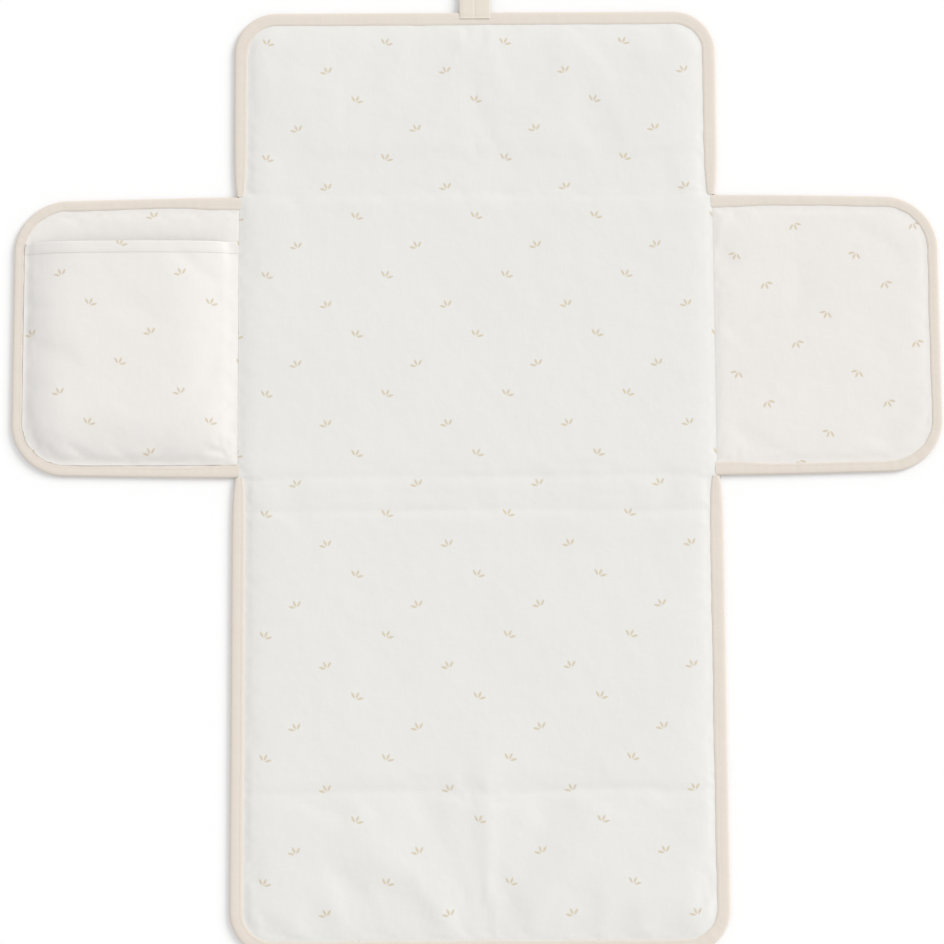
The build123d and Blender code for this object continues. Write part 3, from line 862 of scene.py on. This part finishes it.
# ---------------------------------------------------------------- wings
# the wing's outline is a rounded rectangle that runs on past its seam, under the pad
UNDER_PAD = 60
WING_MID = -(WING_OUT + WING_SEAM - UNDER_PAD) / 2
WING_HALF_DRAWN = (WING_OUT - WING_SEAM + UNDER_PAD) / 2
ROOT_X = SEAM_X - 3.0


def taper(x):
    """The wing narrows a little towards its outer end."""
    d = np.maximum(np.abs(x) - SEAM_X, 0)
    return WING_ROOT_SHARE - 0.03 * (d / (WING_OUT - SEAM_X)) ** 1.4


def wing_depth(x, y, inset=0.0):
    y = y / taper(x)
    return inside(-np.abs(x), y, WING_MID, 0, WING_HALF_DRAWN, WING_HALF, WING_CORNER) - inset


def wing_edge(x, y):
    return np.minimum(wing_depth(x, y, BIND), np.abs(x) - SEAM_X)


def wing_base(x, y, seed):
    e = np.maximum(wing_edge(x, y), 0)
    pucker = waves(x, y, seed, 11, 9) * np.exp(-e / 6.0) * smooth(e / 2) * 0.3
    low = waves(x, y, seed + 1, 80, 7) * 0.3 * smooth(e / 20)
    z = EDGE_Z - 0.1 + (WING_HEIGHT - 0.3 - EDGE_Z) * pillow(e, 7.0) + pucker + low
    root = smooth((np.abs(x) - ROOT_X) / (SEAM_X + 1.5 - ROOT_X))
    return z * root + 1.6 * (1 - root)


def wing_bottom(x, y):
    e = np.maximum(wing_edge(x, y), 0)
    root = smooth((SEAM_X + 2 - np.abs(x)) / 4)
    unevenness = 0.1 * waves(x, y, 19, 50, 7)
    return 0.25 + 0.4 * np.exp(-e / 3.0) * (1 - root) + 0.5 * root + unevenness


def left_print(p):
    """The left wing and its pocket are cut from another place of the printed cloth."""
    return p[:, :2] + [20.0, -26.0]


def right_print(p):
    """The right wing's cloth is turned half round, with the print the other way up."""
    return [16.0, 64.0] - p[:, :2]


def wing(side):
    """Makes the left (-1) or right (1) wing with its binding, and gives its face's height."""
    name = "left_wing" if side < 0 else "right_wing"
    seed = 21 if side < 0 else 27
    wx = np.sort(np.linspace(SEAM_X, WING_OUT - 6, 41) * side)
    wy = np.linspace(-WING_HALF + 6, WING_HALF - 6, 49)
    gx, gy = np.meshgrid(wx, wy, indexing="ij")
    pinned = np.where(wing_edge(gx, gy) < 3, 1.0, LOOSE_PIN)
    change = settle(gx, gy, wing_base(gx, gy, seed), pinned, 0.014, 0.6, 0.6)

    def top(x, y):
        settled = sampled(wx, wy, change, x, y) * smooth(wing_edge(x, y) / 6)
        return wing_base(x, y, seed) + settled * 0.6

    stops = [side * ROOT_X, side * (WING_OUT - 4)]
    xs = lines(stops, 4.5, (side * (SEAM_X + 4), side * WING_OUT), 1.2, 12)
    ys = lines([-WING_HALF - 1, WING_HALF + 1], 4.5, (-WING_HALF, WING_HALF), 1.4, 14)
    quilt = Quilt(xs, ys, lambda x, y: wing_depth(x, y, 4.0), top, wing_bottom)
    cloth = left_print if side < 0 else right_print
    obj = quilt.piece(name + "_pad", -WING_HALF - 9, WING_HALF + 9, [WING_FACE, BACK], cloth)
    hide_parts(name + "_face", name + "_wadding", name + "_backing")
    # the binding follows the left wing's outline, mirrored for the right wing
    pts, normals, along = outline(WING_MID, 0, WING_HALF_DRAWN, WING_HALF, WING_CORNER)
    pts = pts * np.stack([np.ones(len(pts)), taper(pts[:, 0])], 1)
    keep = np.nonzero(pts[:, 0] < -(SEAM_X - 1.0))[0]
    line = [v[keep] for v in (pts, normals, along)]
    if side > 0:
        line = [line[0][::-1] * [-1, 1], line[1][::-1] * [-1, 1], along[-1] - line[2][::-1]]
    slim = 0.2 * smooth((np.abs(line[0][:, 0]) - WING_SEAM - 4) / 45)
    tape = Tape(line, slim, 0.0, 70 + side * 3, EDGE_Z - 0.2)
    edge = tape.piece(name + "_tape", np.arange(len(keep)))
    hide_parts(name + "_binding")
    for p in (obj, edge):
        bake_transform(p)
    return top


left_top = wing(-1)
wing(1)


# ---------------------------------------------------------------- pocket
MOUTH = HEM_HIGH[1]
POCKET_CLOTH = 0.6  # its drawn thickness
SIDE_ENDS = 60.0  # above this y only the sides count, because the mouth is open
SEAM_SLOPE = 0.72  # the bulge is this much gentler beside the seam
CORNER_BLEND = 24.0  # how far the two slopes blend into each other at the pocket's corner


def pocket_edge(x, y):
    """Distance in from where the pocket is sewn down, but not from its mouth."""
    a = wing_depth(x, np.minimum(y, SIDE_ENDS), BIND - 0.4)
    b = SEAM_SLOPE * (-x - SEAM_X - 1.6)
    near = np.clip((CORNER_BLEND - np.abs(a - b)) / CORNER_BLEND, 0, 1)
    return np.minimum(a, b) - 6 * near**2 * smooth(np.minimum(a, b) / 12)


def pocket_lift(x, y):
    """How far the pocket stands above the wing's face."""
    e = np.maximum(pocket_edge(x, y), 0)
    rise = pillow(e, 18.0, 1.5) * (POCKET_HIGH[2] - WING_HEIGHT - 1.4)
    mouth = smooth((y - HEM_LOW[1] + 40) / 60)
    fold = 0.6 * waves(x, y, 33, 60, 7) * smooth(e / 12)
    pucker = 0.35 * waves(x, y, 34, 13, 9) * np.exp(-e / 6.0)
    return rise * (1 - 0.05 * mouth) + fold + pucker


POCKET_SIM_X = np.linspace(-WING_OUT + BIND - 1.5, -SEAM_X - 0.8, 45)
POCKET_SIM_Y = np.linspace(-WING_HALF + BIND - 1.5, MOUTH, 51)
gx, gy = np.meshgrid(POCKET_SIM_X, POCKET_SIM_Y, indexing="ij")
held = np.where(pocket_edge(gx, gy) < 2.5, 1.0, 0.02)
pocket_change = settle(gx, gy, left_top(gx, gy) + pocket_lift(gx, gy), held, 0.03, 1.0, 1.3)


def pocket_under(x, y):
    """The underside of the pocket's cloth."""
    settled = sampled(POCKET_SIM_X, POCKET_SIM_Y, pocket_change, x, y)
    free = smooth(pocket_edge(x, y) / 8)
    z = left_top(x, y) + 0.15 + pocket_lift(x, y) + settled * free * 0.8
    return np.minimum(z, POCKET_HIGH[2] - 0.5)


def single_cloth(name, xs, ys, depth, under, over):
    """A single printed cloth of the left wing as a closed piece."""
    quilt = Quilt(xs, ys, depth, over, under)
    return quilt.piece(name, ys[0] - 1, ys[-1] + 1, [WING_FACE, WING_FACE], left_print)


def pocket_mesh_depth(x, y):
    return np.minimum(wing_depth(x, y, BIND - 2.0), -x - SEAM_X - 0.6)


pocket_x = lines([-WING_OUT + BIND - 2, -SEAM_X - 0.6], 4.0, (-WING_OUT + BIND, -SEAM_X), 1.4, 12)
pocket_stops = [-WING_HALF + BIND - 2, HEM_LOW[1], MOUTH]
pocket = single_cloth(
    "pocket_cloth",
    pocket_x,
    lines(pocket_stops, 4.0, (-WING_HALF + BIND, MOUTH), 1.5, 12),
    pocket_mesh_depth,
    pocket_under,
    lambda x, y: pocket_under(x, y) + POCKET_CLOTH,
)
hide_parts("pocket_panel")
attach(pocket, "left_wing")

def hem_over(x, y):
    """The hem's upper side: a sewn groove near its low edge, and rolled over at the mouth."""
    up = y - HEM_LOW[1]
    roll = np.sqrt(np.clip(1 - ((y - (MOUTH - 0.5)) / 0.9).clip(0, 1) ** 2, 0, 1))
    crest = 0.35 + 0.35 * smooth(up / 1.2) - 0.22 * bell(up - 1.6, 0.6)
    ripple = 0.08 * waves(x, 0 * x, 81, 9, 6)
    return pocket_under(x, y) + POCKET_CLOTH + (crest + ripple) * (0.25 + 0.75 * roll)


hem = single_cloth(
    "pocket_hem_fold",
    pocket_x,
    lines([HEM_LOW[1] + 0.2, MOUTH + 0.35], 1.2),
    lambda x, y: pocket_mesh_depth(x, y) - 0.4,
    lambda x, y: pocket_under(x, y) - 0.25 * smooth((y - MOUTH + 0.6) / 0.8),
    hem_over,
)
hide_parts("pocket_hem")
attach(hem, "left_wing")


# ---------------------------------------------------------------- strap
strap_half = STRAP_HIGH[0]
sew_from = STRAP_LOW[1]
strap_end = STRAP_HIGH[1]
half_x = np.concatenate([[0.3], np.linspace(0.8, strap_half, 12)])  # close together at the middle
strap_x = np.concatenate([-half_x[::-1], half_x])
strap_y = lines([sew_from, STRAP_FOLD[1], strap_end], 2.0, (STRAP_FOLD[1], strap_end), 1.0, 8)
SOCKET_Y = (lows("snap_socket")[1] + highs("snap_socket")[1]) / 2


def strap_depth(x, y):
    """Distance in from a strip with a rounded far end, that runs on past its sewn end."""
    on = 40
    mid, half_length = (sew_from + strap_end) / 2 - on, (strap_end - sew_from) / 2 + on
    return inside(x, y, 0, mid, strap_half, half_length, 8.0)


def strap_middle(x, y):
    """Height of the strap's middle layer: flat under the snap, with a little sag elsewhere."""
    base = STRAP_LOW[2] + 0.8
    sag = -0.35 * smooth((y - STRAP_FOLD[1] - 8) / 30) + 0.12 * waves(x, y, 91, 40, 5)
    sewn = -0.3 * bell(y - sew_from - 1.6, 1.0)
    snap = np.hypot(x, y - SOCKET_Y)
    return base + (sag + sewn) * smooth((snap - 6) / 8)


def strap_thick(x, y):
    """Half the strap's thickness, thinner along its middle where its two edges meet."""
    edge = np.minimum(strap_half - np.abs(x), strap_end - y)
    rounded = np.sqrt(np.clip(1 - (1 - np.clip(edge / 1.1, 0, 1)) ** 2, 0, 1))
    groove = 1 - 0.45 * bell(x, 0.55)
    return 0.76 * (0.2 + 0.8 * rounded) * groove


strap = Quilt(
    strap_x,
    strap_y,
    strap_depth,
    lambda x, y: strap_middle(x, y) + strap_thick(x, y),
    lambda x, y: strap_middle(x, y) - strap_thick(x, y),
).piece(
    "strap_ribbon",
    sew_from - 1,
    strap_end + 1,
    [STRAP, STRAP],
    lambda p: np.stack([p[:, 1], strap_half - np.abs(p[:, 0])], 1),
)
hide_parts("strap_anchor", "strap_body")
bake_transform(strap)


# ---------------------------------------------------------------- snap and patch, as in the CAD
for node in ("snap_cap", "snap_socket", "snap_stud", "snap_post", "stud_patch"):
    kept = frame["nodes"][node].data.materials
    kept.clear()
    kept.append(PATCH if node == "stud_patch" else SNAP)


# ---------------------------------------------------------------- stage, light, camera
FLOOR_REACH = 8
FLOOR_Z = -0.0004
corners = [(x * FLOOR_REACH, y * FLOOR_REACH, FLOOR_Z) for x, y in ((-1, -1), (1, -1), (1, 1), (-1, 1))]
floor_mesh = bpy.data.meshes.new("floor")
floor_mesh.from_pydata(corners, [], [(0, 1, 2, 3)])
floor = new_object("floor", floor_mesh)
paper = Nodes("floor_paper")
grain = paper.noise(paper.add("ShaderNodeTexCoord").outputs["Object"], 60.0, 2.0)
pale = paper.mix(grain, (0.94, 0.94, 0.94, 1), (0.95, 0.95, 0.95, 1))
paper.plug(paper.bsdf.inputs["Base Color"], pale)
paper.bsdf.inputs["Roughness"].default_value = 0.9
paper.bsdf.inputs["Specular IOR Level"].default_value = 0.1
floor_mesh.materials.append(paper.mat)
floor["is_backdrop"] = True

scene = bpy.context.scene
scene.view_settings.view_transform = "Standard"
world = bpy.data.worlds.new("studio")
scene.world = world
world.use_nodes = True
background = world.node_tree.nodes["Background"]
background.inputs["Color"].default_value = (1, 1, 1, 1)
background.inputs["Strength"].default_value = 0.785

# one broad soft light from the strap end's right
SUN_FROM = Vector((0.72, 0.47, 0.5))
sun_data = bpy.data.lights.new("key", "SUN")
sun_data.energy = 1.72
sun_data.angle = math.radians(30)
sun = bpy.data.objects.new("key", sun_data)
sun.rotation_euler = (-SUN_FROM).to_track_quat("-Z", "Y").to_euler()
scene.collection.objects.link(sun)

# nearly straight above, as the photograph
ELEVATION = math.radians(83.6)
ROLL = math.radians(-0.33)
TARGET = Vector((-0.0043, -0.1098, 0.0))
DISTANCE = 1.8
LENS = 86.25
camera_data = bpy.data.cameras.new("camera")
camera_data.lens = LENS
camera = bpy.data.objects.new("camera", camera_data)
back = Vector((0, -math.cos(ELEVATION), math.sin(ELEVATION)))
camera.location = TARGET + back * DISTANCE
aim = (-back).to_track_quat("-Z", "Y").to_matrix()
camera.rotation_euler = (aim @ Matrix.Rotation(ROLL, 3, "Z")).to_euler()
scene.collection.objects.link(camera)
scene.camera = camera

low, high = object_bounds()
{"cad": [list(cad_low), list(cad_high)], "visual": [list(low), list(high)]}
